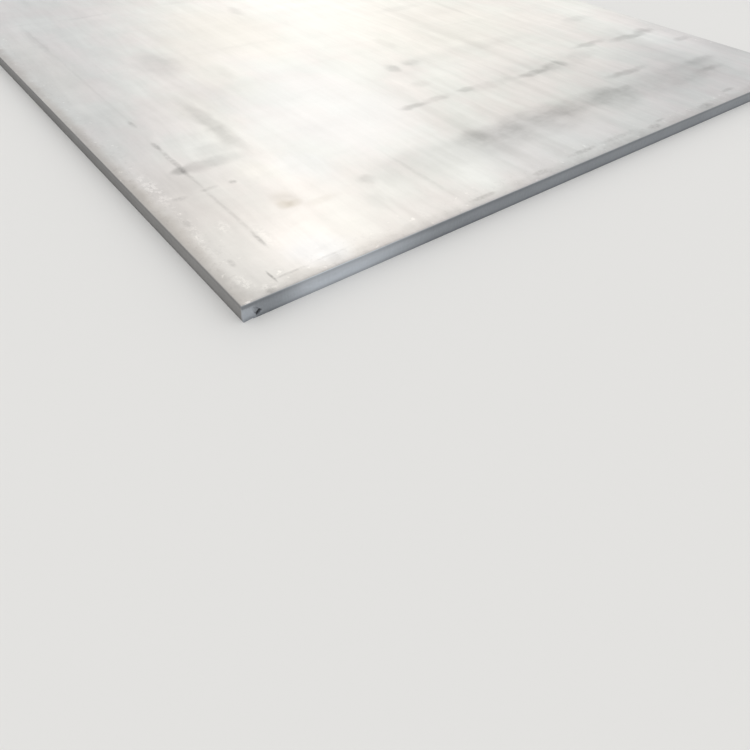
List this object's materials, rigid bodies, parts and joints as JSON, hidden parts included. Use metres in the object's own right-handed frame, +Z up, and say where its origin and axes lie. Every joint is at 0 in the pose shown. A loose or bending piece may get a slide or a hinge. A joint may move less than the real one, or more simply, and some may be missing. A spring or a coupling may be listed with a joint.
{
  "type": "steel plate",
  "caption": "Heavy hot-rolled steel plate of stock size, flat on both faces, with sheared edges and the mill scale left on.",
  "frame": {"origin": "middle of the underside", "axes": "+X along the plate's length, +Y across its width, +Z up through its thickness"},
  "size_m": [6, 1.5, 0.025],
  "materials": {
    "mill_scale": "blue-grey mill scale with a semi-gloss sheen, smudged and lightly scratched"
  },
  "bodies": {
    "root": {"steel_plate": "mill_scale"}
  },
  "joints": []
}
